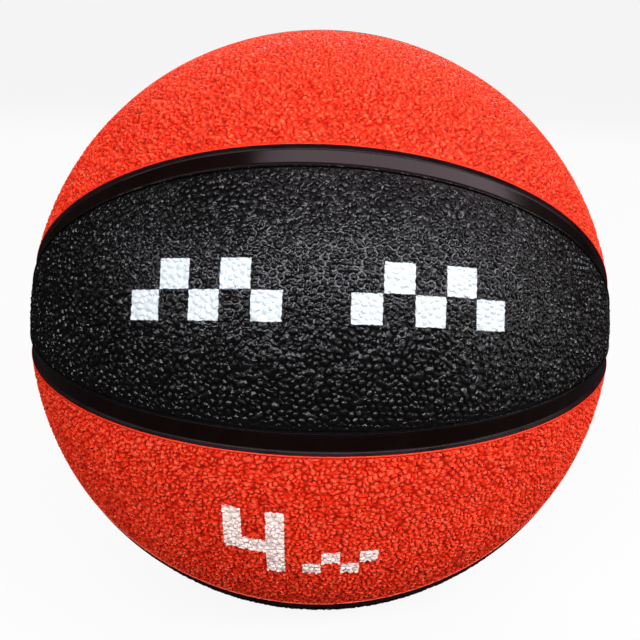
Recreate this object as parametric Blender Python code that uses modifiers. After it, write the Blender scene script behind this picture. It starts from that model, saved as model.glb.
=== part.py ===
"""A rubber wall ball: eight moulded cover panels on a weighted, wound and air-filled core.

Metres, +Z up. The origin is the ball's centre and the pole axis, on which all the panels
converge, lies along X. The ball lies as in use, with a channel at the very bottom.
"""

from math import asin, copysign, cos, hypot, pi, sin, sqrt

import bmesh
import bpy
from mathutils import Vector

# The whole ball
BALL_RADIUS = 0.115
FIT_GAP = 0.0003

# Cover panels, which run from pole to pole
PANEL_COUNT = 8
PANEL_THICKNESS = 0.0032
PANEL_EDGE_RADIUS = 0.0006
PANEL_COLUMNS = 6
PANEL_ROWS = 24
PANEL_EDGE_SEGMENTS = 2

# Smooth channels between the panels. A rubber strip lines each and climbs the panels' edges
CHANNEL_WIDTH = 0.0074
CHANNEL_DEPTH = 0.0013
CHANNEL_FLOOR_WIDTH = 0.0046

# Smooth round caps where the channels meet at the poles
POLE_CAP_RADIUS = 0.015

# Layers under the cover, from the outside in
CORE_THICKNESS = 0.0165
WINDING_THICKNESS = 0.0012
BLADDER_THICKNESS = 0.0018
SHELL_STEPS = 24
SHELL_ROWS = 12

# Needle valve, in the pole cap on the +X side
PLUG_RADIUS = 0.0023
PLUG_HEAD_OVERHANG = 0.0013
PLUG_HEAD_HEIGHT = 0.0016
PLUG_FOOT_OVERHANG = 0.0011
PLUG_FOOT_LENGTH = 0.0030
NEEDLE_MOUTH_RADIUS = 0.0009
NEEDLE_MOUTH_DEPTH = 0.0016
VALVE_WALL = 0.0016
VALVE_RECESS = 0.0006
FLANGE_REACH = 0.0070
FLANGE_THICKNESS = 0.0016
VALVE_STEPS = 24

# Finishes
RED = (0.78, 0.050, 0.022)
BLACK = (0.012, 0.011, 0.011)
CHANNEL_BLACK = (0.016, 0.014, 0.014)
CORE_GREY = (0.035, 0.034, 0.033)
THREAD_WHITE = (0.70, 0.68, 0.62)
BLADDER_BLACK = (0.020, 0.020, 0.021)
SHARP_ANGLE = 0.6

# Radii that follow from the sizes above
PANEL_INNER_RADIUS = BALL_RADIUS - PANEL_THICKNESS
CHANNEL_FLOOR_RADIUS = BALL_RADIUS - CHANNEL_DEPTH
HALF_PANEL_ANGLE = pi / PANEL_COUNT
PANEL_FACET_ANGLE = hypot(HALF_PANEL_ANGLE / PANEL_COLUMNS, pi / PANEL_ROWS / 2)
CORE_RADIUS = PANEL_INNER_RADIUS * cos(PANEL_FACET_ANGLE) - FIT_GAP
CORE_INNER_RADIUS = CORE_RADIUS - CORE_THICKNESS
WINDING_RADIUS = CORE_INNER_RADIUS - FIT_GAP
WINDING_INNER_RADIUS = WINDING_RADIUS - WINDING_THICKNESS
BLADDER_RADIUS = WINDING_INNER_RADIUS - FIT_GAP
BLADDER_INNER_RADIUS = BLADDER_RADIUS - BLADDER_THICKNESS

# A strip's half width and depth from its middle outwards
STRIP_PROFILE = (
    (0, CHANNEL_DEPTH),
    (CHANNEL_FLOOR_WIDTH / 2, CHANNEL_DEPTH),
    (CHANNEL_WIDTH / 2 - FIT_GAP, PANEL_EDGE_RADIUS),
)
STRIP_COLUMNS = 2 * (len(STRIP_PROFILE) - 1)

VALVE_BORE_RADIUS = PLUG_RADIUS + FIT_GAP
PLUG_HEAD_RADIUS = PLUG_RADIUS + PLUG_HEAD_OVERHANG
PLUG_FOOT_RADIUS = PLUG_RADIUS + PLUG_FOOT_OVERHANG
HEAD_SEAT_RADIUS = PLUG_HEAD_RADIUS + FIT_GAP
STEM_RADIUS = HEAD_SEAT_RADIUS + VALVE_WALL
STEM_HOLE_RADIUS = STEM_RADIUS + FIT_GAP
VALVE_FACE = CHANNEL_FLOOR_RADIUS - VALVE_RECESS


# Turned pieces are profiles in (distance from the axis, height along it), spun round local Z


def arc(radius, angles):
    """Profile points of a sphere at these angles from the pole."""
    return [(radius * sin(angle), radius * cos(angle)) for angle in angles]


def rim(radius, ring):
    """The profile point of a sphere that lies this far from the axis."""
    return (ring, sqrt(radius**2 - ring**2))


def polar_angles(first, last):
    """The shells' shared polar angles, from row first to row last."""
    return [row * pi / SHELL_ROWS for row in range(first, last + 1)]


def smooth(mesh):
    """Shades a mesh smooth but for its corners."""
    mesh.shade_smooth()
    mesh.set_sharp_from_angle(angle=SHARP_ANGLE)
    return mesh


def turned_mesh(name, profile, closed, steps):
    """Spins a profile that runs down its outer side. An open profile starts and ends on the axis."""
    outline = bpy.data.meshes.new(name)
    points = [(ring, 0, height) for ring, height in profile]
    edges = [(i, i + 1) for i in range(len(points) - 1)]
    if closed:
        edges.append((len(points) - 1, 0))
    outline.from_pydata(points, edges, [])
    turner = bpy.data.objects.new(name + "_profile", outline)
    bpy.context.scene.collection.objects.link(turner)
    screw = turner.modifiers.new("Screw", "SCREW")
    screw.axis = "Z"
    screw.steps = steps
    screw.render_steps = steps
    screw.use_merge_vertices = True
    screw.merge_threshold = FIT_GAP / steps
    evaluated = turner.evaluated_get(bpy.context.evaluated_depsgraph_get())
    mesh = bpy.data.meshes.new_from_object(evaluated)
    bpy.data.objects.remove(turner)
    bpy.data.meshes.remove(outline)
    mesh.name = name
    return smooth(mesh)


def place(name, mesh, material, parent, turn_about_x=0, axis_towards_x=0):
    """Adds a node. A turned piece has its axis laid towards +X (1) or -X (-1)."""
    piece = bpy.data.objects.new(name, mesh)
    parts.objects.link(piece)
    piece.parent = parent
    piece.rotation_euler = (turn_about_x, axis_towards_x * pi / 2, 0)
    if not mesh.materials:
        mesh.materials.append(material)
    slot = piece.material_slots[0]
    slot.link = "OBJECT"
    slot.material = material
    return piece


def rubber(name, colour, roughness):
    """A plain dielectric finish."""
    material = bpy.data.materials.new(name)
    material.use_nodes = True
    shader = material.node_tree.nodes["Principled BSDF"]
    shader.inputs["Base Color"].default_value = (*colour, 1)
    shader.inputs["Roughness"].default_value = roughness
    shader.inputs["Metallic"].default_value = 0
    material.diffuse_color = (*colour, 1)
    return material


# Panels and strips are unit grids bent onto the ball, then given their thickness


def end_angle(radius):
    """The polar angle at which panels and strips stop short of a pole cap."""
    return asin((POLE_CAP_RADIUS + FIT_GAP) / radius)


def on_panel(across_share, along_share, radius):
    """A point of the panel that faces +Z. Its sides stay parallel to the channels beside it."""
    polar = pi / 2 + along_share * (pi / 2 - end_angle(radius))
    ring = radius * sin(polar)
    half_spread = HALF_PANEL_ANGLE - asin(CHANNEL_WIDTH / 2 / ring)
    around = across_share * half_spread
    return Vector((radius * cos(polar), ring * sin(around), ring * cos(around)))


def on_strip(across_share, along_share, inner=False):
    """A point of the channel strip that faces +Z. It has the same section from end to end."""
    across, depth = STRIP_PROFILE[round(abs(across_share) * STRIP_COLUMNS / 2)]
    radius = PANEL_INNER_RADIUS if inner else BALL_RADIUS - depth
    polar = pi / 2 + along_share * (pi / 2 - end_angle(radius))
    ring = radius * sin(polar)
    return Vector((radius * cos(polar), copysign(across, across_share), sqrt(ring**2 - across**2)))


def bent_slab(name, columns, rows, outer_point, inner_point, edge_radius=0):
    """Extrudes a unit grid, bends its two sides by the point functions and rounds the outer rim."""
    bm = bmesh.new()
    bmesh.ops.create_grid(bm, x_segments=columns, y_segments=rows, size=1)
    outer = list(bm.verts)
    walls = bmesh.ops.extrude_face_region(bm, geom=bm.faces[:] + bm.edges[:] + bm.verts[:])
    inner = [item for item in walls["geom"] if isinstance(item, bmesh.types.BMVert)]
    bmesh.ops.translate(bm, vec=(0, 0, -1), verts=inner)
    bmesh.ops.recalc_face_normals(bm, faces=bm.faces)
    for vertex in outer:
        vertex.co = outer_point(vertex.co.x, vertex.co.y)
    for vertex in inner:
        vertex.co = inner_point(vertex.co.x, vertex.co.y)
    bm.normal_update()
    if edge_radius:
        outer = set(outer)
        skin = {face for face in bm.faces if outer.issuperset(face.verts)}
        outline = [edge for edge in bm.edges if len(skin.intersection(edge.link_faces)) == 1]
        bmesh.ops.bevel(
            bm,
            geom=outline,
            offset=edge_radius,
            offset_type="OFFSET",
            segments=PANEL_EDGE_SEGMENTS,
            profile=0.5,
            affect="EDGES",
            material=-1,
        )
    mesh = bpy.data.meshes.new(name)
    bm.to_mesh(mesh)
    bm.free()
    return smooth(mesh)


def panel_mesh():
    """One of the eight cover panels: a lune of rubber whose tips are cut off by the pole caps."""
    return bent_slab(
        "panel",
        PANEL_COLUMNS,
        PANEL_ROWS,
        lambda across, along: on_panel(across, along, BALL_RADIUS),
        lambda across, along: on_panel(across, along, PANEL_INNER_RADIUS),
        PANEL_EDGE_RADIUS,
    )


def strip_mesh():
    """A channel's lining: a smooth floor with two sloping flanks."""
    return bent_slab(
        "channel_strip",
        STRIP_COLUMNS,
        PANEL_ROWS,
        on_strip,
        lambda across, along: on_strip(across, along, inner=True),
    )


def pole_cap_mesh(hole_radius):
    """The smooth disc at a pole. The one on the valve's side has a hole for the valve stem."""
    middle_ring = (hole_radius + POLE_CAP_RADIUS) / 2
    rings = [hole_radius, middle_ring, POLE_CAP_RADIUS]
    top = [rim(CHANNEL_FLOOR_RADIUS, ring) for ring in rings]
    bottom = [rim(PANEL_INNER_RADIUS, ring) for ring in reversed(rings)]
    if hole_radius:
        return turned_mesh("pole_cap_valve", top + bottom, True, VALVE_STEPS)
    return turned_mesh("pole_cap_plain", top + bottom, False, VALVE_STEPS)


def core_half_mesh(hole_radius):
    """Half of the heavy rubber core. The halves meet on the plane midway between the poles."""
    seam = FIT_GAP / 2
    equator_row = SHELL_ROWS // 2
    outer = arc(CORE_RADIUS, polar_angles(1, equator_row - 1))
    inner = arc(CORE_INNER_RADIUS, polar_angles(1, equator_row - 1))
    outer_seam = (sqrt(CORE_RADIUS**2 - seam**2), seam)
    inner_seam = (sqrt(CORE_INNER_RADIUS**2 - seam**2), seam)
    profile = [
        rim(CORE_RADIUS, hole_radius),
        *outer,
        outer_seam,
        inner_seam,
        *reversed(inner),
        rim(CORE_INNER_RADIUS, hole_radius),
    ]
    return turned_mesh("core_half", profile, bool(hole_radius), SHELL_STEPS)


def whole_shell_mesh(name, radius, inner_radius):
    """A round layer with one hole, for the valve stem."""
    rows = polar_angles(1, SHELL_ROWS - 1)
    profile = [
        (0, -inner_radius),
        *reversed(arc(inner_radius, rows)),
        rim(inner_radius, STEM_HOLE_RADIUS),
        rim(radius, STEM_HOLE_RADIUS),
        *arc(radius, rows),
        (0, -radius),
    ]
    return turned_mesh(name, profile, False, SHELL_STEPS)


# The valve stands on the +X pole, so its heights are distances from the ball's centre

FLANGE_RADIUS = STEM_RADIUS + FLANGE_REACH
FLANGE_TOP_RADIUS = BLADDER_INNER_RADIUS * cos(pi / SHELL_ROWS / 2) - FIT_GAP
FLANGE_BOTTOM = rim(FLANGE_TOP_RADIUS, FLANGE_RADIUS)[1] - FLANGE_THICKNESS
HEAD_SEAT = VALVE_FACE - PLUG_HEAD_HEIGHT - FIT_GAP
FOOT_TOP = FLANGE_BOTTOM - FIT_GAP


def valve_housing_mesh():
    """The rubber stem that leads air through every layer. Its flange seals inside the bladder."""
    middle_ring = (STEM_RADIUS + FLANGE_RADIUS) / 2
    profile = [
        (STEM_RADIUS, VALVE_FACE),
        rim(FLANGE_TOP_RADIUS, STEM_RADIUS),
        rim(FLANGE_TOP_RADIUS, middle_ring),
        rim(FLANGE_TOP_RADIUS, FLANGE_RADIUS),
        (FLANGE_RADIUS, FLANGE_BOTTOM),
        (VALVE_BORE_RADIUS, FLANGE_BOTTOM),
        (VALVE_BORE_RADIUS, HEAD_SEAT),
        (HEAD_SEAT_RADIUS, HEAD_SEAT),
        (HEAD_SEAT_RADIUS, VALVE_FACE),
    ]
    return turned_mesh("valve_housing", profile, True, VALVE_STEPS)


def valve_plug_mesh():
    """The soft self-closing plug. A pump needle enters by the cone in its flat head."""
    foot_bottom = FOOT_TOP - PLUG_FOOT_LENGTH
    profile = [
        (0, VALVE_FACE - NEEDLE_MOUTH_DEPTH),
        (NEEDLE_MOUTH_RADIUS, VALVE_FACE),
        (PLUG_HEAD_RADIUS, VALVE_FACE),
        (PLUG_HEAD_RADIUS, HEAD_SEAT + FIT_GAP),
        (PLUG_RADIUS, HEAD_SEAT + FIT_GAP),
        (PLUG_RADIUS, FOOT_TOP),
        (PLUG_FOOT_RADIUS, FOOT_TOP),
        (PLUG_RADIUS, foot_bottom),
        (0, foot_bottom),
    ]
    return turned_mesh("valve_plug", profile, False, VALVE_STEPS)


# Assembly

for leftover in list(bpy.data.objects):
    bpy.data.objects.remove(leftover)

parts = bpy.data.collections.new("Wall ball")
bpy.context.scene.collection.children.link(parts)
centre = bpy.data.objects.new("ball_centre", None)
parts.objects.link(centre)

red_rubber = rubber("red pebbled rubber", RED, 0.55)
black_rubber = rubber("black pebbled rubber", BLACK, 0.42)
channel_rubber = rubber("smooth black rubber", CHANNEL_BLACK, 0.48)
core_rubber = rubber("weighted core rubber", CORE_GREY, 0.75)
thread = rubber("wound nylon thread", THREAD_WHITE, 0.70)
bladder_rubber = rubber("butyl rubber", BLADDER_BLACK, 0.50)

panel = panel_mesh()
strip = strip_mesh()
for number in range(PANEL_COUNT):
    channel_turn = number * 2 * HALF_PANEL_ANGLE
    panel_turn = channel_turn + HALF_PANEL_ANGLE
    pair = number // 2 + 1
    if number % 2:
        place(f"black_panel_{pair}", panel, black_rubber, centre, panel_turn)
    else:
        place(f"red_panel_{pair}", panel, red_rubber, centre, panel_turn)
    place(f"channel_strip_{number + 1}", strip, channel_rubber, centre, channel_turn)

place("pole_cap_valve_side", pole_cap_mesh(STEM_HOLE_RADIUS), channel_rubber, centre, 0, 1)
place("pole_cap_plain_side", pole_cap_mesh(0), channel_rubber, centre, 0, -1)
place("core_half_valve_side", core_half_mesh(STEM_HOLE_RADIUS), core_rubber, centre, 0, 1)
place("core_half_plain_side", core_half_mesh(0), core_rubber, centre, 0, -1)
winding = whole_shell_mesh("thread_winding", WINDING_RADIUS, WINDING_INNER_RADIUS)
place("thread_winding", winding, thread, centre, 0, 1)
bladder = whole_shell_mesh("bladder", BLADDER_RADIUS, BLADDER_INNER_RADIUS)
place("bladder", bladder, bladder_rubber, centre, 0, 1)
place("valve_housing", valve_housing_mesh(), bladder_rubber, centre, 0, 1)
place("valve_plug", valve_plug_mesh(), bladder_rubber, centre, 0, 1)
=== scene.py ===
"""Looks of the wall ball: moulded, pebbled and printed rubber on its wound, air-filled core.

Metres, +Z up. The pole axis lies along X, and the ball's centre is the origin.
"""

import random
from functools import reduce
from math import asin, atan, cos, pi, radians, sin, sqrt

import bmesh
import bpy
from mathutils import Matrix, Vector


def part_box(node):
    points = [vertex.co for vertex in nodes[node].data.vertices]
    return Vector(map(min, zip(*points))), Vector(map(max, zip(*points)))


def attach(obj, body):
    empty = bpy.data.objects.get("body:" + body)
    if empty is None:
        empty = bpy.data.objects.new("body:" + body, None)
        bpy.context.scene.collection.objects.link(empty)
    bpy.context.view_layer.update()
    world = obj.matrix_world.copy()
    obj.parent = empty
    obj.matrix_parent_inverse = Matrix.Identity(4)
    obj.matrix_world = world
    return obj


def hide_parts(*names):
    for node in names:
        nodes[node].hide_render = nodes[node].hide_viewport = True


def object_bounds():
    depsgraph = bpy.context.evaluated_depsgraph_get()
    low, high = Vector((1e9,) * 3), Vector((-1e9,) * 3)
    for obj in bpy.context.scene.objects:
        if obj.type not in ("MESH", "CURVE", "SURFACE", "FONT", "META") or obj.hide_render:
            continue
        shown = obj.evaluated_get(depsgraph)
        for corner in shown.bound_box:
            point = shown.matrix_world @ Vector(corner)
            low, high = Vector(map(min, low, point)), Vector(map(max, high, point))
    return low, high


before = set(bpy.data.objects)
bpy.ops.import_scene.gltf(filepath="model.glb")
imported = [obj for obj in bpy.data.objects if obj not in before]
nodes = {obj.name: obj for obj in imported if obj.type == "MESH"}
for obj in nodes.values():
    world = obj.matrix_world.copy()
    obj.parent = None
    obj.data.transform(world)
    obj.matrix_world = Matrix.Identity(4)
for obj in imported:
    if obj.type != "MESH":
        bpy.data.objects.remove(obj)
cad_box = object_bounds()


# Bladder
# The innermost layer is a butyl rubber balloon, blown from black stock and dusted with talc
# before the thread goes on. The valve housing is bonded into its one hole.

TALC = (0.10, 0.10, 0.10)
BUTYL = (0.020, 0.020, 0.021)
TALC_CLOUDS = 60
TALC_RISE = (0.45, 0.75)
THICKEST_TALC = 0.6
BUTYL_ROUGHNESS = 0.45
TALC_ROUGHNESS = 0.35
BUTYL_TEXTURE = 900
BUTYL_RELIEF = 0.00005


class Amount:
    """A value that varies over a surface. Arithmetic on it adds Math nodes."""

    def __init__(self, mix, socket):
        self.mix = mix
        self.socket = socket

    def maths(self, operation, *operands):
        return self.mix.node("ShaderNodeMath", {"operation": operation}, dict(enumerate(operands)))

    def __add__(self, other):
        return self.maths("ADD", self, other)

    __radd__ = __add__

    def __mul__(self, other):
        return self.maths("MULTIPLY", self, other)

    __rmul__ = __mul__

    def __sub__(self, other):
        return self.maths("SUBTRACT", self, other)

    def __rsub__(self, other):
        return self.maths("SUBTRACT", other, self)

    def over(self, other):
        return self.maths("MAXIMUM", self, other)

    def under(self, other):
        return self.maths("MINIMUM", self, other)

    def size(self):
        return self.maths("ABSOLUTE", self)

    def sine(self):
        return self.maths("SINE", self)

    def between(self, low, high):
        """0 below low, 1 above high, and a smooth rise in between. With low over high it falls."""
        settings = {"interpolation_type": "SMOOTHSTEP"}
        return self.mix.node("ShaderNodeMapRange", settings, {"Value": self, 1: low, 2: high})


class Mix:
    """One finish, put together like a rubber mix: a Principled shader and the nodes that feed it."""

    def __init__(self, name):
        self.material = bpy.data.materials.new(name)
        self.material.use_nodes = True
        self.tree = self.material.node_tree
        self.shader = self.tree.nodes["Principled BSDF"]
        self.place = self.node("ShaderNodeTexCoord", {}, {}, "Object")

    def link(self, value, socket):
        """Feeds a socket with an Amount, a number, a direction, or a colour of three shares."""
        if isinstance(value, Amount):
            self.tree.links.new(value.socket, socket)
        elif hasattr(value, "__len__") and len(value) < len(socket.default_value):
            socket.default_value = (*value, 1)
        else:
            socket.default_value = value

    def node(self, kind, settings, values, output=0):
        made = self.tree.nodes.new(kind)
        for key, value in settings.items():
            setattr(made, key, value)
        for key, value in values.items():
            self.link(value, made.inputs[key])
        return Amount(self, made.outputs[output])

    def noise(self, scale, detail=2, roughness=0.5):
        values = {"Vector": self.place, "Scale": scale, "Detail": detail, "Roughness": roughness}
        return self.node("ShaderNodeTexNoise", {}, values, "Fac")

    def blend(self, share, first, second):
        """A colour from the first, at share 0, to the second, at share 1."""
        settings = {"data_type": "RGBA"}
        return self.node("ShaderNodeMix", settings, {0: share, 6: first, 7: second}, 2)

    def attribute(self, name):
        return self.node("ShaderNodeAttribute", {"attribute_name": name}, {}, "Fac")

    def along(self, direction):
        """The distance from the ball's centre in this direction."""
        settings = {"operation": "DOT_PRODUCT"}
        return self.node("ShaderNodeVectorMath", settings, {0: self.place, 1: direction}, "Value")

    def height(self):
        """The distance from the ball's centre."""
        return self.node("ShaderNodeVectorMath", {"operation": "LENGTH"}, {0: self.place}, "Value")

    def finish(self, colour, roughness, relief=None, depth=0):
        """Feeds the shader. relief is a height from 0 to 1, and depth is its size in metres."""
        self.link(colour, self.shader.inputs["Base Color"])
        self.link(roughness, self.shader.inputs["Roughness"])
        if relief is not None:
            values = {"Strength": 1, "Distance": depth, "Height": relief}
            self.link(self.node("ShaderNodeBump", {}, values), self.shader.inputs["Normal"])
        return self.material


def dress(node, material):
    """Gives a solid that stays as it is a better finish."""
    nodes[node].data.materials.clear()
    nodes[node].data.materials.append(material)


def butyl_rubber():
    """Black butyl with clouds of talc."""
    mix = Mix("butyl rubber")
    talc = mix.noise(TALC_CLOUDS, detail=4).between(*TALC_RISE)
    colour = mix.blend(talc * THICKEST_TALC, BUTYL, TALC)
    roughness = talc * TALC_ROUGHNESS + BUTYL_ROUGHNESS
    return mix.finish(colour, roughness, mix.noise(BUTYL_TEXTURE), BUTYL_RELIEF)


dress("bladder", butyl_rubber())


# Thread winding
# Nylon thread, wound at random round the bladder and set in thin rubber, keeps the ball round.

THREAD = (0.70, 0.68, 0.62)
RUBBER_BETWEEN = (0.20, 0.19, 0.17)
# The scale of each run's stripes. They all differ a little
THREAD_RUNS = (440.50, 460.09, 469.57)
THREAD_WANDER = 6
RUBBER_ROUGHNESS = 0.8
THREAD_SHINE = 0.2
THREAD_RELIEF = 0.0002


def wound_thread():
    """Runs of thread that wander over each other, as fine stripes over the layer."""
    mix = Mix("wound nylon thread")
    runs = []
    for scale in THREAD_RUNS:
        values = {"Vector": mix.place, "Scale": scale, "Distortion": THREAD_WANDER, "Detail": 1}
        runs.append(mix.node("ShaderNodeTexWave", {}, values, "Fac"))
    strands = reduce(Amount.over, runs)
    colour = mix.blend(strands, RUBBER_BETWEEN, THREAD)
    return mix.finish(colour, RUBBER_ROUGHNESS - strands * THREAD_SHINE, strands, THREAD_RELIEF)


dress("thread_winding", wound_thread())


# Core halves
# Two thick cups of rubber, loaded with mineral filler until the ball weighs what it is marked,
# are closed round the wound bladder and cured together. They come from the mould matt and grey.

CORE_GREY = (0.035, 0.034, 0.033)
FILLER_GREY = (0.090, 0.088, 0.085)
FILLER_SPECKS = 700
SPECKS_RISE = (0.55, 0.7)
CORE_ROUGHNESS = 0.65
CAST_PATCHES = 45
CAST_ROUGHNESS = 0.2
CORE_TEXTURE = 350
CORE_RELIEF = 0.0002


def loaded_rubber():
    """Matt grey rubber with pale specks of filler."""
    mix = Mix("loaded core rubber")
    specks = mix.noise(FILLER_SPECKS, detail=3).between(*SPECKS_RISE)
    roughness = mix.noise(CAST_PATCHES, detail=3) * CAST_ROUGHNESS + CORE_ROUGHNESS
    colour = mix.blend(specks, CORE_GREY, FILLER_GREY)
    return mix.finish(colour, roughness, mix.noise(CORE_TEXTURE, detail=4), CORE_RELIEF)


core_rubber = loaded_rubber()
dress("core_half_valve_side", core_rubber)
dress("core_half_plain_side", core_rubber)


# Cover panels
# Eight lunes of moulded rubber, four red and four black, run from pole to pole. The mould is
# etched with a tight grain of rounded pebbles, and leaves a gutter and a smooth lip at each edge.

PANEL_COUNT = 8
HALF_PANEL = pi / PANEL_COUNT
FIT_GAP = 0.0003
# The CAD's corners lie on the true ball and its faces inside it. The moulded skin runs between
SKIN_DROP = 0.0001
cad_reaches = [vertex.co.length for vertex in nodes["black_panel_1"].data.vertices]
ball_radius = max(cad_reaches) - SKIN_DROP
back_radius = min(cad_reaches)
half_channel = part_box("channel_strip_1")[1].y + FIT_GAP
cap_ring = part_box("pole_cap_plain_side")[1].z
# A blank panel faces +Z. These run across and along the channel on its +Y side
ACROSS_CHANNEL = Vector((0, cos(HALF_PANEL), -sin(HALF_PANEL)))
UP_CHANNEL = Vector((0, sin(HALF_PANEL), cos(HALF_PANEL)))

# The black panels' pebbles stand apart in a net of valleys, and the red ones' run together
# sideways. Shares are of a cell, and levels run from the valley, 0, to the highest crown, 1
BLACK_GRAIN = {
    "cuts": 29,
    "shake": 0.00064,
    "merged": 0.14,
    "valley": 0.18,
    "bridged": 0.30,
    "bridge_level": 0.6,
    "foot": 0.80,
    "rings": ((0.60, 0.62), (0.33, 0.86)),
    "crown_rise": 0.09,
    "uneven": (0.68, 1.1),
    "tilt": 0.25,
    "smooth_border": 0.0030,
}
RED_GRAIN = {
    "cuts": 38,
    "shake": 0.00054,
    "merged": 0.26,
    "valley": 0,
    "bridged": 0.45,
    "bridge_level": 0.5,
    "foot": 1,
    "rings": ((0.58, 0.74),),
    "crown_rise": 0.26,
    "uneven": (0.45, 1.12),
    "tilt": 0.45,
    "smooth_border": 0.0006,
}
PEBBLE_HEIGHT = 0.00085
FOOT_LEVEL = 0.02
FOOT_SHARE = 0.8
FOOT_ROUNDING = 0.1
LOWEST_BRIDGE = 0.1
ROUNDING = 0.2
FULLEST_RING = 0.9
BORDER_LEVEL = 0.45

# How the cells are scattered and merged, and how the shell is trimmed and closed
SPHERE_SUBDIVISIONS = 2
SPHERE_EDGE = ball_radius * 0.65
GRAIN_MARGIN = 0.006
SHAKING_ROUNDS = 3
SETTLING_SHARE = 0.15
UPRIGHT = 0.75
WIDEST_NECK = 0.0009
SMALLEST_CELL = 0.0008**2
FIRST_INSET = FIT_GAP / 10
CUT_SNAP = 1e-7
RIM_VERTEX_GAP = 0.0004
BACK_VERTEX_GAP = 0.0015
BACK_COLUMNS = 6
EDGE_TOLERANCE = FIT_GAP / 2
BACK_TOLERANCE = FIT_GAP / 3

# The rim's section, outward and down from the edge of the grain: a gutter, the lip, its round
# outer edge and the wall
GUTTER_WIDTH = 0.00008
LIP_SLOPE = 0.00014
LIP_WIDTH = 0.00026
LIP_CROWN = 0.00004
LIP_LEVEL = 0.55
EDGE_ROUND = 0.00034
EDGE_STEPS = 4
rim_width = GUTTER_WIDTH + LIP_SLOPE + LIP_WIDTH + EDGE_ROUND
rim_section = [
    (0, PEBBLE_HEIGHT),
    (GUTTER_WIDTH, PEBBLE_HEIGHT),
    (GUTTER_WIDTH + LIP_SLOPE, LIP_CROWN),
]
for step in range(EDGE_STEPS + 1):
    turn = pi / 2 * step / EDGE_STEPS
    outward = rim_width - EDGE_ROUND * (1 - sin(turn))
    rim_section.append((outward, EDGE_ROUND * (1 - cos(turn))))
rim_section.append((rim_width, ball_radius - back_radius))
grain_edge = half_channel + rim_width
grain_tip = cap_ring + FIT_GAP + rim_width


def beside_channel(point):
    """How far a point of the blank is from the middle plane of the channel on its own side."""
    return -ACROSS_CHANNEL.dot(Vector((point.x, abs(point.y), point.z)))


def ring_of(point):
    """How far a point is from the pole axis."""
    return sqrt(point.y**2 + point.z**2)


def outside_grain(point):
    """How far a point lies outside the grained field. It is less than 0 inside."""
    return max(grain_edge - beside_channel(point), grain_tip - ring_of(point))


def at_side(point, so_far):
    """Whether a point of the rim, so_far out, lies on a channel's side."""
    return beside_channel(point) < grain_edge - so_far + EDGE_TOLERANCE


def at_tip(point, so_far):
    """Whether a point of the rim, so_far out, lies on a pole cap's side."""
    return ring_of(point) < grain_tip - so_far + EDGE_TOLERANCE


def moved_out(point, so_far, outward, down):
    """Moves a point of the rim, already so_far out, outward over the channel and down."""
    ring, radius = ring_of(point), point.length - down
    new_ring = ring - outward if at_tip(point, so_far) else ring * radius / point.length
    x = sqrt(max(radius**2 - new_ring**2, 0)) * (1 if point.x > 0 else -1)
    if not at_side(point, so_far):
        return Vector((x, point.y * new_ring / ring, point.z * new_ring / ring))
    side = beside_channel(point) - outward
    flat = sqrt(new_ring**2 - side**2) * UP_CHANNEL - side * ACROSS_CHANNEL
    return Vector((x, flat.y if point.y > 0 else -flat.y, flat.z))


def open_edges(bm):
    return [edge for edge in bm.edges if edge.is_boundary]


def inner_edges(bm):
    return [edge for edge in bm.edges if not edge.is_boundary]


def open_vertices(bm):
    return [vertex for vertex in bm.verts if vertex.is_boundary]


def inner_vertices(bm):
    return [vertex for vertex in bm.verts if not vertex.is_boundary]


def drop_faces(bm, margin):
    """Deletes the faces that lie wholly outside the grained field by the margin."""
    far = [face for face in bm.faces if all(outside_grain(vertex.co) > margin for vertex in face.verts)]
    bmesh.ops.delete(bm, geom=far, context="FACES")


def onto_ball(bm):
    for vertex in bm.verts:
        vertex.co = vertex.co.normalized() * ball_radius


def random_arm(size):
    return Vector([random.uniform(-1, 1) for axis in range(3)]) * size


def scatter_cells(bm, kind):
    """Makes the mould's grain, flat so far: one uneven cell for each pebble.

    The points of a fine sphere are shaken and joined anew. Each face gets a point in its middle,
    each edge is turned to join two of those, and the first points are dissolved."""
    bmesh.ops.create_icosphere(bm, subdivisions=SPHERE_SUBDIVISIONS, radius=ball_radius)
    drop_faces(bm, SPHERE_EDGE)
    bmesh.ops.subdivide_edges(bm, edges=bm.edges[:], cuts=kind["cuts"], use_grid_fill=True)
    onto_ball(bm)
    drop_faces(bm, GRAIN_MARGIN)
    for shaking in range(SHAKING_ROUNDS):
        for vertex in bm.verts:
            vertex.co += random_arm(kind["shake"])
        onto_ball(bm)
        bmesh.ops.beautify_fill(bm, faces=bm.faces[:], edges=inner_edges(bm), method="ANGLE")
        axes = {"use_axis_x": True, "use_axis_y": True, "use_axis_z": True}
        bmesh.ops.smooth_vert(bm, verts=inner_vertices(bm), factor=SETTLING_SHARE, **axes)
        onto_ball(bm)
    middles, border, between = inner_vertices(bm), open_vertices(bm), inner_edges(bm)
    bmesh.ops.poke(bm, faces=bm.faces[:])
    bmesh.ops.rotate_edges(bm, edges=between)
    bmesh.ops.dissolve_verts(bm, verts=middles)
    bmesh.ops.delete(bm, geom=border, context="VERTS")
    onto_ball(bm)


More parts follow.
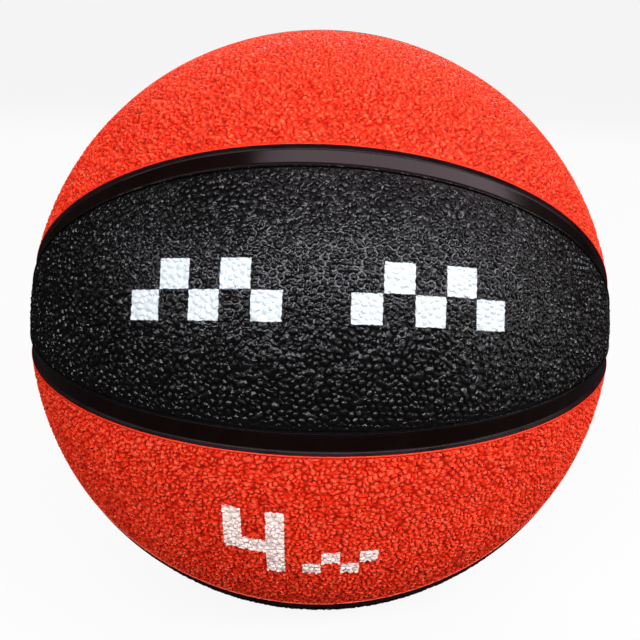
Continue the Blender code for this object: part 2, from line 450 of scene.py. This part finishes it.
def merge_some(bm, share):
    """Lets neighbours side by side along the pole axis grow together, as in the real grain.

    What the field's edge leaves of a cell joins its neighbour too, where it is too small."""
    edges = inner_edges(bm)
    taken, merged = set(), []
    for face in bm.faces:
        inner = [edge for edge in face.edges if not edge.is_boundary]
        if face.calc_area() < SMALLEST_CELL and inner:
            edge = max(inner, key=bmesh.types.BMEdge.calc_length)
            if not taken.intersection(edge.link_faces):
                taken.update(edge.link_faces)
                merged.append(edge)
    random.shuffle(edges)
    for edge in edges:
        run = (edge.verts[1].co - edge.verts[0].co).normalized()
        fits = abs(run.x) < UPRIGHT and edge.calc_length() > WIDEST_NECK
        wanted = len(merged) < len(bm.faces) * share
        if fits and wanted and not taken.intersection(edge.link_faces):
            taken.update(edge.link_faces)
            merged.append(edge)
    bmesh.ops.dissolve_edges(bm, edges=merged)


def ringed(bm, cells, share, rounding):
    """Insets each cell and draws its new ring in towards the middle, rounder than the cell."""
    bmesh.ops.inset_individual(bm, faces=cells, thickness=FIRST_INSET, use_even_offset=False)
    for cell in cells:
        middle = cell.calc_center_median_weighted()
        reach = sum((vertex.co - middle).length for vertex in cell.verts) / len(cell.verts)
        for vertex in cell.verts:
            arm = vertex.co - middle
            drawn_in = share * (1 - rounding + rounding * reach / arm.length)
            vertex.co = middle + arm * min(drawn_in, FULLEST_RING)


def raise_pebbles(bm, grain, kind):
    """Turns each flat cell into a domed pebble in its valley.

    Heights are set only as levels of the grain here. Bridges are high spots in a valley."""
    merge_some(bm, kind["merged"])
    cells = bm.faces[:]
    for vertex in bm.verts:
        if random.random() < kind["bridged"]:
            vertex[grain] = random.uniform(LOWEST_BRIDGE, kind["bridge_level"])
    if kind["foot"] < 1:
        ringed(bm, cells, kind["foot"], FOOT_ROUNDING)
        for cell in cells:
            for vertex in cell.verts:
                vertex[grain] = vertex[grain] * FOOT_SHARE + FOOT_LEVEL
            for edge in cell.edges:
                edge.smooth = False
    height = [random.uniform(*kind["uneven"]) for cell in cells]
    tilt = [random_arm(kind["tilt"]) for cell in cells]
    widest, last_share = kind["rings"][0][0], kind["foot"]
    for share, level in kind["rings"]:
        ringed(bm, cells, share / last_share, ROUNDING)
        last_share = share
        for number, cell in enumerate(cells):
            middle = cell.calc_center_median()
            reach = max((vertex.co - middle).length for vertex in cell.verts) / share * widest
            for vertex in cell.verts:
                slope = (vertex.co - middle).dot(tilt[number]) / reach
                vertex[grain] = min(max(level * height[number] + slope, FOOT_LEVEL), 1)
    for crown in bmesh.ops.poke(bm, faces=cells)["verts"]:
        ring = [edge.other_vert(crown) for edge in crown.link_edges]
        crown[grain] = min(sum(vertex[grain] for vertex in ring) / len(ring) + kind["crown_rise"], 1)
    for vertex in bm.verts:
        vertex[grain] = kind["valley"] + (1 - kind["valley"]) * vertex[grain]


def trim_to_field(bm):
    """Cuts the grain to the field that it fills: by both channels, and by the rings at the tips."""
    tip_x = sqrt(ball_radius**2 - grain_tip**2)
    mirrored = Vector((0, -ACROSS_CHANNEL.y, ACROSS_CHANNEL.z))
    cuts = [(normal * -grain_edge, normal) for normal in (ACROSS_CHANNEL, mirrored)]
    cuts += [(Vector((x, 0, 0)), Vector((x, 0, 0))) for x in (tip_x, -tip_x)]
    for point, normal in cuts:
        plane = {"plane_co": point, "plane_no": normal, "dist": CUT_SNAP}
        every = bm.verts[:] + bm.edges[:] + bm.faces[:]
        bmesh.ops.bisect_plane(bm, geom=every, clear_outer=True, **plane)
    bmesh.ops.remove_doubles(bm, verts=open_vertices(bm), dist=RIM_VERTEX_GAP)


def close_back(bm):
    """Closes the back, which lies on the core."""
    bmesh.ops.remove_doubles(bm, verts=open_vertices(bm), dist=BACK_VERTEX_GAP)
    filling = {"normal": (0, 0, -1), "use_beauty": True}
    made = bmesh.ops.triangle_fill(bm, edges=open_edges(bm), **filling)["geom"]
    back = {item for item in made if isinstance(item, bmesh.types.BMFace)}
    inner = [edge for edge in bm.edges if edge.link_faces and back.issuperset(edge.link_faces)]
    rows = bmesh.ops.subdivide_edges(bm, edges=inner, cuts=BACK_COLUMNS - 1, use_grid_fill=True)
    for item in rows["geom_inner"]:
        if isinstance(item, bmesh.types.BMVert):
            item.co = item.co.normalized() * back_radius


def panel_blank(kind):
    """A panel that faces +Z: a closed shell with a lip all round.

    Its vertices carry the level of the grain, and their place on the unrolled panel. The grain
    rises slowly from a smooth border."""
    bm = bmesh.new()
    scatter_cells(bm, kind)
    grain, along, across = (bm.verts.layers.float.new(name) for name in ("grain", "along", "across"))
    trim_to_field(bm)
    raise_pebbles(bm, grain, kind)
    for vertex in bm.verts:
        x, y, z = vertex.co
        vertex[along] = asin(x / vertex.co.length) * ball_radius
        vertex[across] = atan(y / z) * ring_of(vertex.co)
        full = min(-outside_grain(vertex.co) / kind["smooth_border"], 1)
        vertex[grain] = BORDER_LEVEL + (vertex[grain] - BORDER_LEVEL) * full
        if vertex.is_boundary:
            vertex[grain] = 0
        vertex.co = vertex.co.normalized() * (ball_radius - PEBBLE_HEIGHT * (1 - vertex[grain]))
    for (last_out, last_down), (outward, down) in zip(rim_section, rim_section[1:]):
        made = bmesh.ops.extrude_edge_only(bm, edges=open_edges(bm))["geom"]
        path = sqrt((outward - last_out) ** 2 + (down - last_down) ** 2)
        for vertex in made:
            if isinstance(vertex, bmesh.types.BMVert):
                tip, side = at_tip(vertex.co, last_out), at_side(vertex.co, last_out)
                vertex[along] += path * tip * (1 if vertex.co.x > 0 else -1)
                vertex[across] += path * side * (1 if vertex.co.y > 0 else -1)
                vertex[grain] = LIP_LEVEL * (1 - min(down / PEBBLE_HEIGHT, 1))
                vertex.co = moved_out(vertex.co, last_out, outward - last_out, down - last_down)
    close_back(bm)
    return bm


# The unrolled panel fills a square of this size. The rest are shares of the square
UNROLLED_SIZE = 0.190
HALF_OFFSET = 0.25
HALF_FOOT = 0.015
BACK_MIDDLE = 0.95
BACK_REACH = 0.48
BACK_HEIGHT = 0.08


def unroll(bm):
    """Lays the panel out flat as two half lunes, side by side, and its back as a strip above."""
    along, across = (bm.verts.layers.float[name] for name in ("along", "across"))
    flat = bm.loops.layers.uv.new("OFBake")
    for face in bm.faces:
        half = 1 if face.calc_center_median().x > 0 else -1
        is_back = all(vertex.co.length < back_radius + BACK_TOLERANCE for vertex in face.verts)
        for loop in face.loops:
            u, v = loop.vert[across] / UNROLLED_SIZE, abs(loop.vert[along]) / UNROLLED_SIZE
            if loop.vert[along] * half < 0:
                v = -v
            if is_back:
                x, y = loop.vert.co.x / ball_radius, loop.vert.co.y / ball_radius
                loop[flat].uv = (0.5 + x * BACK_REACH, BACK_MIDDLE + y * BACK_HEIGHT)
            else:
                loop[flat].uv = (0.5 - HALF_OFFSET * half + u * half, HALF_FOOT + v)


random.seed(11)
blanks = {"black": panel_blank(BLACK_GRAIN), "red": panel_blank(RED_GRAIN)}
for blank in blanks.values():
    unroll(blank)

# In each finish, valley is the colour of painted shade in the valleys, which the random blotches also
# take, and crown is the colour of a painted highlight on the crowns
RED_FINISH = {
    "valley": (0.41, 0.0076, 0.0019),
    "body": (0.94, 0.030, 0.008),
    "crown": (0.98, 0.12, 0.046),
    "sheen": (1.0, 0.66, 0.44),
    "ink": (1.0, 0.82, 0.77),
    "roughness": 0.38,
    "glint": 0.5,
    "etching": 0.00028,
}
BLACK_FINISH = {
    "valley": (0.0022, 0.0018, 0.0018),
    "body": (0.0042, 0.0035, 0.0036),
    "crown": (0.0050, 0.0044, 0.0046),
    "sheen": (0.94, 0.95, 1.0),
    "ink": (0.71, 0.76, 0.80),
    "roughness": 0.17,
    "glint": 0.365,
    "etching": 0.00024,
}
# Levels of the grain over which the body's colour replaces the valleys' painted shade, and the crowns'
# painted highlight, wear and ink set in
VALLEY_SHADE_LEVELS = (0.0, 0.6)
CROWN_HIGHLIGHT_LEVELS = (0.66, 1.02)
WORN_LEVELS = (0.45, 1.0)
INK_LEVELS = (-0.1, 0.5)
WORN_ROUGHNESS = 0.16
THINNEST_INK = 0.90
INK_ROUGHNESS = 0.08
BLOTCHES = 28
BLOTCH_RISE = (0.35, 0.7)
DARKEST_BLOTCH = 0.12
BLOTCH_ROUGHNESS = 0.10
ETCHED_TEXTURE = 900
NOISE_MIDDLE = 0.5
WALL_BLACK = (0.008, 0.005, 0.005)
WALL_TOP = ball_radius - PEBBLE_HEIGHT - 0.0002
WALL_FADE = FIT_GAP / 3


def moulded_grain(name, finish, mark=None):
    """Moulded rubber: glossier in the valleys and matt on the worn crowns. Painted shade darkens the
    valleys, and a painted highlight pales the crowns.
    """
    mix = Mix(name)
    level = mix.attribute("grain")
    blotch = mix.noise(BLOTCHES, detail=3)
    # Painted shade: the valleys are darkened to the valley colour
    body = mix.blend(level.between(*VALLEY_SHADE_LEVELS), finish["valley"], finish["body"])
    # Painted highlight: the crowns are paled to the crown colour
    body = mix.blend(level.between(*CROWN_HIGHLIGHT_LEVELS), body, finish["crown"])
    body = mix.blend(blotch.between(*BLOTCH_RISE) * DARKEST_BLOTCH, body, finish["valley"])
    wear = level.between(*WORN_LEVELS) * WORN_ROUGHNESS
    roughness = finish["roughness"] + wear + (blotch - NOISE_MIDDLE) * BLOTCH_ROUGHNESS
    if mark:
        ink = mark(mix)
        cover = level.between(*INK_LEVELS) * (1 - THINNEST_INK) + THINNEST_INK
        body = mix.blend(ink, body, mix.blend(cover, finish["body"], finish["ink"]))
        roughness = roughness + ink * INK_ROUGHNESS
    body = mix.blend(mix.height().between(WALL_TOP, WALL_TOP - WALL_FADE), body, WALL_BLACK)
    mix.shader.inputs["Specular IOR Level"].default_value = finish["glint"]
    mix.shader.inputs["Specular Tint"].default_value = (*finish["sheen"], 1)
    return mix.finish(body, roughness, mix.noise(ETCHED_TEXTURE), finish["etching"])


# Printing ink on two panels. Each mark is made of upright boxes in the panel's own plane: u runs
# along the pole axis and v up the panel
BANDED_PANEL = 1
NUMBERED_PANEL = 2
PRINT_RAGGED = 0.00035
RAGGED_TEXTURE = 700
PRINT_SOFT = 0.00012


def print_place(mix, number):
    """u and v on this panel, a little ragged, as the grain makes the printed edge."""
    turn = (2 * number + 1) * HALF_PANEL
    ragged = (mix.noise(RAGGED_TEXTURE, detail=1) - NOISE_MIDDLE) * (2 * PRINT_RAGGED)
    return mix.along((1, 0, 0)) + ragged, mix.along((0, cos(turn), sin(turn))) + ragged


def box_mark(u, v, left, right, low, high):
    """How far a point is inside a box, less than 0 outside."""
    across = (right - left) / 2 - (u - (left + right) / 2).size()
    return across.under((high - low) / 2 - (v - (low + high) / 2).size())


def chequer_mark(u, v, left, low, square, columns, rows):
    """Printed squares of a chequered block, as how far a point is inside one."""
    waves = [(place * (pi / square)).sine() * (square / pi) for place in (u - left, v - low)]
    along_u, along_v = waves
    squares = along_u.under(along_v).over((0 - along_u).under(0 - along_v))
    return squares.under(box_mark(u, v, left, left + square * columns, low, low + square * rows))


def printed(marks):
    """Where there is ink: 1 inside any of the marks, with a soft edge."""
    return reduce(Amount.over, marks).between(0, 2 * PRINT_SOFT)


CHEQUER_ROWS = 2
BAND_SQUARE = 0.0095
BAND_COLUMNS = 5
BAND_LEFTS = (-0.0560, 0.0115)
BAND_LOW = -0.0080


def chequered_band(mix):
    """A white chequered band, in two halves, across the middle of the black panel in front."""
    u, v = print_place(mix, BANDED_PANEL)
    squares = (BAND_SQUARE, BAND_COLUMNS, CHEQUER_ROWS)
    return printed([chequer_mark(u, v, left, BAND_LOW, *squares) for left in BAND_LEFTS])


NUMERAL_LEFT = -0.0270
NUMERAL_RIGHT = -0.0070
NUMERAL_LOW = -0.0110
NUMERAL_TOP = 0.0190
NUMERAL_BAR = -0.0002
NUMERAL_STROKE = 0.0062
UNIT_LEFT = -0.0015
UNIT_SQUARE = 0.0062
UNIT_COLUMNS = 4


def weight_numeral(mix):
    """A plain open 4 for the ball's weight in kilograms, with a small chequer beside it."""
    u, v = print_place(mix, NUMBERED_PANEL)
    stroke = NUMERAL_STROKE
    return printed([
        box_mark(u, v, NUMERAL_LEFT, NUMERAL_LEFT + stroke, NUMERAL_BAR, NUMERAL_TOP),
        box_mark(u, v, NUMERAL_LEFT, NUMERAL_RIGHT, NUMERAL_BAR, NUMERAL_BAR + stroke),
        box_mark(u, v, NUMERAL_RIGHT - stroke, NUMERAL_RIGHT, NUMERAL_LOW, NUMERAL_TOP),
        chequer_mark(u, v, UNIT_LEFT, NUMERAL_LOW, UNIT_SQUARE, UNIT_COLUMNS, CHEQUER_ROWS),
    ])


def keep_piece(bm, name, material, slot, *replaced):
    """Makes the finished mesh a piece that rides on the ball and stands for its CAD nodes."""
    mesh = bpy.data.meshes.new(name)
    bm.to_mesh(mesh)
    mesh.materials.append(material)
    piece = bpy.data.objects.new(name, mesh)
    bpy.context.scene.collection.objects.link(piece)
    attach(piece, "root")
    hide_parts(*replaced)


plain_rubbers = {
    "red": moulded_grain("pebbled red rubber", RED_FINISH),
    "black": moulded_grain("pebbled black rubber", BLACK_FINISH),
}
banded_name = "pebbled black rubber with a chequered band"
numbered_name = "pebbled red rubber with a numeral"
printed_rubbers = {
    BANDED_PANEL: moulded_grain(banded_name, BLACK_FINISH, chequered_band),
    NUMBERED_PANEL: moulded_grain(numbered_name, RED_FINISH, weight_numeral),
}
for number in range(PANEL_COUNT):
    colour = "black" if number % 2 else "red"
    node = f"{colour}_panel_{number // 2 + 1}"
    panel = blanks[colour].copy()
    turn = Matrix.Rotation((2 * number + 1) * HALF_PANEL, 3, "X")
    bmesh.ops.rotate(panel, verts=panel.verts, matrix=turn)
    material = printed_rubbers.get(number, plain_rubbers[colour])
    keep_piece(panel, f"grained_{node}", material, f"{colour}_rubber", node)


# Channel strips
# Between the panels the cover is sunk to smooth black rubber. Each strip is a shallow trough that
# runs from pole to pole, with sloping sides up to the lips of its two panels.

floor_radius = max(vertex.co.length for vertex in nodes["pole_cap_plain_side"].data.vertices)
strip_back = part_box("core_half_plain_side")[1].z + FIT_GAP
TROUGH_FLOOR = 0.0023
FLOOR_EDGE_SHARE = 0.9
TROUGH_SIDE = half_channel - FIT_GAP / 8
TROUGH_TOP = ball_radius - 0.00022
FLANK_SIDE = TROUGH_SIDE - FIT_GAP / 4
FLANK_TOP = TROUGH_TOP + FIT_GAP / 8
FLANK_STEPS = 6
FLANK_CURVE = 1.9
STRIP_STEPS = 160
CAP_CLEARANCE = FIT_GAP / 4
SHARP_EDGE = 0.7

TROUGH_BLACK = (0.0036, 0.0010, 0.0007)
TROUGH_GREY = (0.0056, 0.0022, 0.0017)
TROUGH_ROUGHNESS = 0.24
TROUGH_RELIEF = 0.00008
FLOW_MARKS = 90
FLOW_DETAIL = {"detail": 4, "roughness": 0.6}
FLOW_RISE = (0.4, 0.75)
FLOW_ROUGHNESS = 0.10
SCUFFS = 500
FLANK_PAINTED_LIGHT = (0.015, 0.008, 0.010)
FLANK_HEIGHTS = (floor_radius + 0.00001, floor_radius + 0.0001)
FLANK_LIGHT_PATCHES = (0.2, 0.6)
FLANK_GLINT = 0.09
POLISH = 0.85
POLISHED_ROUGHNESS = 0.17


def trough_section():
    """The trough's section as side and radius: its back, its sides, and its floor."""
    right = [(TROUGH_SIDE, strip_back), (TROUGH_SIDE, TROUGH_TOP)]
    for step in range(FLANK_STEPS, -1, -1):
        share = step / FLANK_STEPS
        side = TROUGH_FLOOR + (FLANK_SIDE - TROUGH_FLOOR) * share
        right.append((side, floor_radius + (FLANK_TOP - floor_radius) * share**FLANK_CURVE))
    right.append((TROUGH_FLOOR * FLOOR_EDGE_SHARE, floor_radius))
    return right + [(-side, radius) for side, radius in reversed(right)]


def smooth_faces(bm):
    """Turns the faces outward and shades them smooth, but for the sharp edges."""
    bmesh.ops.recalc_face_normals(bm, faces=bm.faces)
    for face in bm.faces:
        face.smooth = True
    for edge in bm.edges:
        edge.smooth = edge.calc_face_angle(0) < SHARP_EDGE


def trough(turn):
    """Sweeps the section from one pole cap to the other and turns the strip to its place."""
    bm = bmesh.new()
    tip = asin((cap_ring + CAP_CLEARANCE) / ball_radius)
    section = [bm.verts.new((0, side, radius)) for side, radius in trough_section()]
    for first, second in zip(section, section[1:] + section[:1]):
        bm.edges.new((first, second))
    bmesh.ops.rotate(bm, verts=section, matrix=Matrix.Rotation(-(pi / 2 - tip), 3, "Y"))
    outline = bm.verts[:] + bm.edges[:]
    bmesh.ops.spin(bm, geom=outline, axis=(0, 1, 0), angle=pi - 2 * tip, steps=STRIP_STEPS)
    bmesh.ops.holes_fill(bm, edges=open_edges(bm))
    smooth_faces(bm)
    bmesh.ops.rotate(bm, verts=bm.verts, matrix=turn)
    return bm


def smooth_rubber():
    """Black rubber from the polished part of the mould, with faint flow marks and scuffs.

    Only the floor is polished. The sloping sides have patches of faint pinkish grey painted light."""
    mix = Mix("smooth channel rubber")
    flow = mix.noise(FLOW_MARKS, **FLOW_DETAIL)
    scuffs = mix.noise(SCUFFS, detail=3)
    flank = mix.height().between(*FLANK_HEIGHTS)
    colour = mix.blend(flow.between(*FLOW_RISE), TROUGH_BLACK, TROUGH_GREY)
    # Painted light: patches of pale pinkish grey on the sloping sides
    colour = mix.blend(flank * flow.between(*FLANK_LIGHT_PATCHES), colour, FLANK_PAINTED_LIGHT)
    mix.shader.inputs["Specular IOR Level"].default_value = FLANK_GLINT
    mix.link(POLISH - flank * POLISH, mix.shader.inputs["Coat Weight"])
    mix.shader.inputs["Coat Roughness"].default_value = POLISHED_ROUGHNESS
    return mix.finish(colour, flow * FLOW_ROUGHNESS + TROUGH_ROUGHNESS, scuffs + flow, TROUGH_RELIEF)


channel_rubber = smooth_rubber()
for number in range(PANEL_COUNT):
    turn = Matrix.Rotation(2 * number * HALF_PANEL, 3, "X")
    node = f"channel_strip_{number + 1}"
    keep_piece(trough(turn), f"smooth_{node}", channel_rubber, "channel_rubber", node)


# Pole caps
# The channels run together in a smooth round of the same rubber at each pole. A fine ring shows
# where the mould's insert ended. The cap on the valve's side has a hole for the valve's stem.

CAP_STEPS = 96
CAP_EDGE = 0.0003
INSERT_RING = 0.0105
INSERT_RING_WIDTH = 0.0006
INSERT_RING_DEPTH = 0.00012
STEPS_INSIDE_RING = 6
STEPS_OUTSIDE_RING = 4
STEM_RADIUS = 0.0055
SEAM_SNAP = 1e-6


def on_cap(radius, ring):
    """A point of a profile at this radius of the ball and this ring round the pole axis."""
    return sqrt(radius**2 - ring**2), ring


def turned(profile, side, steps):
    """Spins a profile of pole distances and ring radii round the pole axis, on the +X or -X side."""
    bm = bmesh.new()
    points = [bm.verts.new((side * along, 0, ring)) for along, ring in profile]
    for first, second in zip(points, points[1:]):
        bm.edges.new((first, second))
    if profile[0][1] > 0:
        bm.edges.new((points[-1], points[0]))
    outline = bm.verts[:] + bm.edges[:]
    bmesh.ops.spin(bm, geom=outline, axis=(1, 0, 0), angle=2 * pi, steps=steps, use_merge=True)
    bmesh.ops.remove_doubles(bm, verts=bm.verts, dist=SEAM_SNAP)
    smooth_faces(bm)
    return bm


def cap_profile(hole):
    """From the hole or the middle, over the face to the rim, and back along the underside."""
    edge, ring, half_width = CAP_EDGE, INSERT_RING, INSERT_RING_WIDTH / 2
    inside, outside = (ring - hole) / STEPS_INSIDE_RING, (cap_ring - ring) / STEPS_OUTSIDE_RING
    face = [(hole + inside * step, 0) for step in range(STEPS_INSIDE_RING)]
    if hole:
        face[0] = (hole + edge, 0)
    face += [(ring - half_width, 0), (ring, INSERT_RING_DEPTH), (ring + half_width, 0)]
    face += [(ring + outside * step, 0) for step in range(1, STEPS_OUTSIDE_RING)]
    face.append((cap_ring - edge, 0))
    top = [on_cap(floor_radius - drop, place) for place, drop in face]
    if hole:
        top.insert(0, on_cap(floor_radius - edge, hole))
    top.append(on_cap(floor_radius - edge, cap_ring))
    underside = [on_cap(back_radius, place) for place in (cap_ring, (cap_ring + hole) / 2, hole)]
    return top + underside


for side, label in ((1, "valve_side"), (-1, "plain_side")):
    cap = turned(cap_profile(STEM_RADIUS + FIT_GAP if side == 1 else 0), side, CAP_STEPS)
    node = f"pole_cap_{label}"
    keep_piece(cap, f"smooth_{node}", channel_rubber, "channel_rubber", node)


# Valve
# A rubber housing leads through every layer to its flange inside the bladder. The soft plug in it
# closes by itself, and a pump needle enters by the dimple in its head. Both are moulded and bonded.

valve_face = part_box("valve_plug")[1].x
foot_end, foot_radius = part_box("valve_plug")[0].x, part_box("valve_plug")[1].z
flange_bottom, flange_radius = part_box("valve_housing")[0].x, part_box("valve_housing")[1].z
FLANGE_THICKNESS = 0.0016
FLANGE_LIP = 0.0009
FLANGE_STEPS = 4
HEAD_HEIGHT = 0.0016
HEAD_RADIUS = 0.0036
PLUG_RADIUS = 0.0023
FOOT_SIDE = 0.0008
# The dimple's rings round the axis, with their depths
DIMPLE = ((0, 0.0016), (0.0003, 0.0011), (0.0008, 0.0003), (0.0013, 0))
SEALING_RIDGE = 0.0027
RIDGE_SINK = 0.00012
RUBBER_ROUND = 0.0002
ROUND_STEPS = 2
VALVE_STEPS = 72

HOUSING_BLACK = (0.011, 0.009, 0.009)
HOUSING_ROUGHNESS = 0.36
PLUG_BLACK = (0.006, 0.006, 0.007)
PLUG_ROUGHNESS = 0.24
MOULD_BLOOM = (0.030, 0.029, 0.030)
BLOOM_CLOUDS = 180
BLOOM_RISE = (0.5, 0.8)
THICKEST_BLOOM = 0.5
BLOOM_ROUGHNESS = 0.2
BLOOM_RELIEF = 0.00004


def eased(bm):
    """Rounds the sharp edges a little, as soft rubber leaves a mould."""
    sharp = [edge for edge in bm.edges if not edge.smooth]
    rounding = {"offset": RUBBER_ROUND, "segments": ROUND_STEPS, "profile": 0.5, "material": -1}
    bmesh.ops.bevel(bm, geom=sharp, affect="EDGES", **rounding)
    smooth_faces(bm)
    return bm


def housing_profile():
    """From the stem's face down to the flange, and up through the bore to the head's seat."""
    flange_top = sqrt((flange_bottom + FLANGE_THICKNESS) ** 2 + flange_radius**2)
    reach = (flange_radius - STEM_RADIUS) / FLANGE_STEPS
    flange = [on_cap(flange_top, STEM_RADIUS + reach * step) for step in range(FLANGE_STEPS)]
    flange += [(flange_bottom + FLANGE_LIP, flange_radius), (flange_bottom, flange_radius)]
    seat, seat_ring = valve_face - HEAD_HEIGHT - FIT_GAP, HEAD_RADIUS + FIT_GAP
    bore = [(flange_bottom, PLUG_RADIUS + FIT_GAP), (seat, PLUG_RADIUS + FIT_GAP)]
    return [(valve_face, STEM_RADIUS), *flange, *bore, (seat, seat_ring), (valve_face, seat_ring)]


def plug_profile():
    """From the needle's dimple over the head and down the shank to the foot that holds it in."""
    dimple = [(valve_face - depth, ring) for ring, depth in DIMPLE]
    ridge = [(valve_face - RIDGE_SINK * sink, SEALING_RIDGE + RUBBER_ROUND * sink) for sink in (0, 1)]
    under_head, foot_top = valve_face - HEAD_HEIGHT, flange_bottom - FIT_GAP
    head = [(valve_face - RIDGE_SINK, HEAD_RADIUS), (under_head, HEAD_RADIUS), (under_head, PLUG_RADIUS)]
    foot = [(foot_top, PLUG_RADIUS), (foot_top, foot_radius), (foot_top - FOOT_SIDE, foot_radius)]
    return dimple + ridge + head + foot + [(foot_end, PLUG_RADIUS), (foot_end, 0)]


def valve_rubber(name, colour, roughness):
    """Soft black rubber with a faint grey bloom from the mould."""
    mix = Mix(name)
    bloom = mix.noise(BLOOM_CLOUDS, detail=4)
    bloomed = mix.blend(bloom.between(*BLOOM_RISE) * THICKEST_BLOOM, colour, MOULD_BLOOM)
    return mix.finish(bloomed, bloom * BLOOM_ROUGHNESS + roughness, bloom, BLOOM_RELIEF)


for node, profile, finish in (
    ("valve_housing", housing_profile(), ("valve housing rubber", HOUSING_BLACK, HOUSING_ROUGHNESS)),
    ("valve_plug", plug_profile(), ("soft plug rubber", PLUG_BLACK, PLUG_ROUGHNESS)),
):
    valve_piece = eased(turned(profile, 1, VALVE_STEPS))
    keep_piece(valve_piece, f"moulded_{node}", valve_rubber(*finish), "bladder_rubber", node)


# Stage
# The ball lies on a plain pale floor. A long soft strip lights it from high in front, and four
# weaker lamps fill in. The lens sees the floor and the sky near white, whatever light they throw.

# The ball's share of the picture's width, and the camera's distance in radii of the ball
BALL_SHARE = 290.3 / 320
CAMERA_REACH = 3.32
CAMERA_ELEVATION = 19.0
CAMERA_YAW = 1.4
CAMERA_ROLL = 1.3
NEAREST_SEEN = 0.01
LAMPS = (
    # azimuth, elevation, distance, roll, width, height, power, colour
    ("key_strip", 12, 37, 1.2, 0, 3.20, 0.22, 31.5, (0.96, 0.98, 1.0)),
    ("ceiling", 76, 67, 1.2, -61, 2.20, 0.34, 4.8, (1.0, 0.77, 0.85)),
    ("left_fill", -62, 24, 1.3, 0, 0.9, 0.2, 2.4, (0.97, 0.98, 1.0)),
    ("back_fill", 180, 28, 1.6, 0, 1.4, 0.8, 10.0, (1.0, 0.98, 0.96)),
    ("right_fill", 76, 11, 1.4, 0, 1.0, 0.8, 4.4, (1.0, 0.97, 0.95)),
)
FLOOR_SIZE = 200
FLOOR_PAINT = (0.8, 0.8, 0.8)
FLOOR_MIRRORED = (0.02, 0.02, 0.02)
FLOOR_BOUNCED = (0.06, 0.06, 0.06)
FLOOR_ROUGHNESS = 0.6
FLOOR_GLOW = 0.90
GLOSSY_SKY = 0.012
DIFFUSE_SKY = 0.06
SEEN_SKY = 0.905


def aimed(thing, azimuth, elevation, distance, roll=0):
    """Puts a lamp or the camera on a sphere round the ball and aims it at the middle.

    Azimuth 0 is in front, on the -Y side, and rises towards +X."""
    around, up = radians(azimuth), radians(elevation)
    place = Vector((sin(around) * cos(up), -cos(around) * cos(up), sin(up))) * distance
    upright = place.to_track_quat("Z", "Y").to_matrix()
    rolled = upright @ Matrix.Rotation(radians(roll), 3, "Z")
    thing.matrix_world = Matrix.Translation(place) @ rolled.to_4x4()


def rays(mix, kind):
    """1 for rays of this kind and 0 for the others. Camera rays are what the lens sees."""
    return mix.node("ShaderNodeLightPath", {}, {}, f"Is {kind} Ray")


camera =bpy.data.objects.new("camera", bpy.data.cameras.new("camera"))
camera.data.angle = 2 * atan(1 / sqrt(CAMERA_REACH**2 - 1) / BALL_SHARE)
camera.data.clip_start = NEAREST_SEEN
bpy.context.scene.collection.objects.link(camera)
aimed(camera, CAMERA_YAW, CAMERA_ELEVATION, CAMERA_REACH * ball_radius, CAMERA_ROLL)
bpy.context.scene.camera = camera

for name, azimuth, elevation, distance, roll, width, height, power, colour in LAMPS:
    lamp = bpy.data.lights.new(name, "AREA")
    lamp.shape = "RECTANGLE"
    lamp.size = width
    lamp.size_y = height
    lamp.energy = power
    lamp.color = colour
    holder = bpy.data.objects.new(name, lamp)
    bpy.context.scene.collection.objects.link(holder)
    aimed(holder, azimuth, elevation, distance, roll)

floor_mesh = bmesh.new()
bmesh.ops.create_grid(floor_mesh, x_segments=1, y_segments=1, size=FLOOR_SIZE / 2)
bmesh.ops.translate(floor_mesh, verts=floor_mesh.verts, vec=(0, 0, cad_box[0][2]))
floor = bpy.data.objects.new("floor", bpy.data.meshes.new("floor"))
floor_mesh.to_mesh(floor.data)
bpy.context.scene.collection.objects.link(floor)
paint = Mix("pale floor")
paint.shader.inputs["Specular IOR Level"].default_value = 0
seen_floor = rays(paint, "Camera")
thrown_floor = paint.blend(rays(paint, "Diffuse"), FLOOR_MIRRORED, FLOOR_BOUNCED)
paint.finish(paint.blend(seen_floor, thrown_floor, FLOOR_PAINT), FLOOR_ROUGHNESS)
painted = Amount(paint, paint.shader.outputs[0])
glow = paint.node("ShaderNodeEmission", {}, {})
both = {0: seen_floor * FLOOR_GLOW, 1: painted, 2: glow}
surface = paint.tree.nodes["Material Output"].inputs["Surface"]
paint.link(paint.node("ShaderNodeMixShader", {}, both), surface)
floor.data.materials.append(paint.material)


class Sky(Mix):
    """The world's light, put together as a finish is."""

    def __init__(self, name):
        self.world = bpy.data.worlds.new(name)
        self.world.use_nodes = True
        self.tree = self.world.node_tree
        self.shader = self.tree.nodes["Background"]


sky = Sky("studio")
sky.link((1, 1, 1), sky.shader.inputs["Color"])
thrown_sky = rays(sky, "Diffuse") * (DIFFUSE_SKY - GLOSSY_SKY) + GLOSSY_SKY
seen_sky = rays(sky, "Camera") * (SEEN_SKY - GLOSSY_SKY)
sky.link(seen_sky + thrown_sky, sky.shader.inputs["Strength"])
bpy.context.scene.world = sky.world
bpy.context.scene.view_settings.view_transform = "Standard"
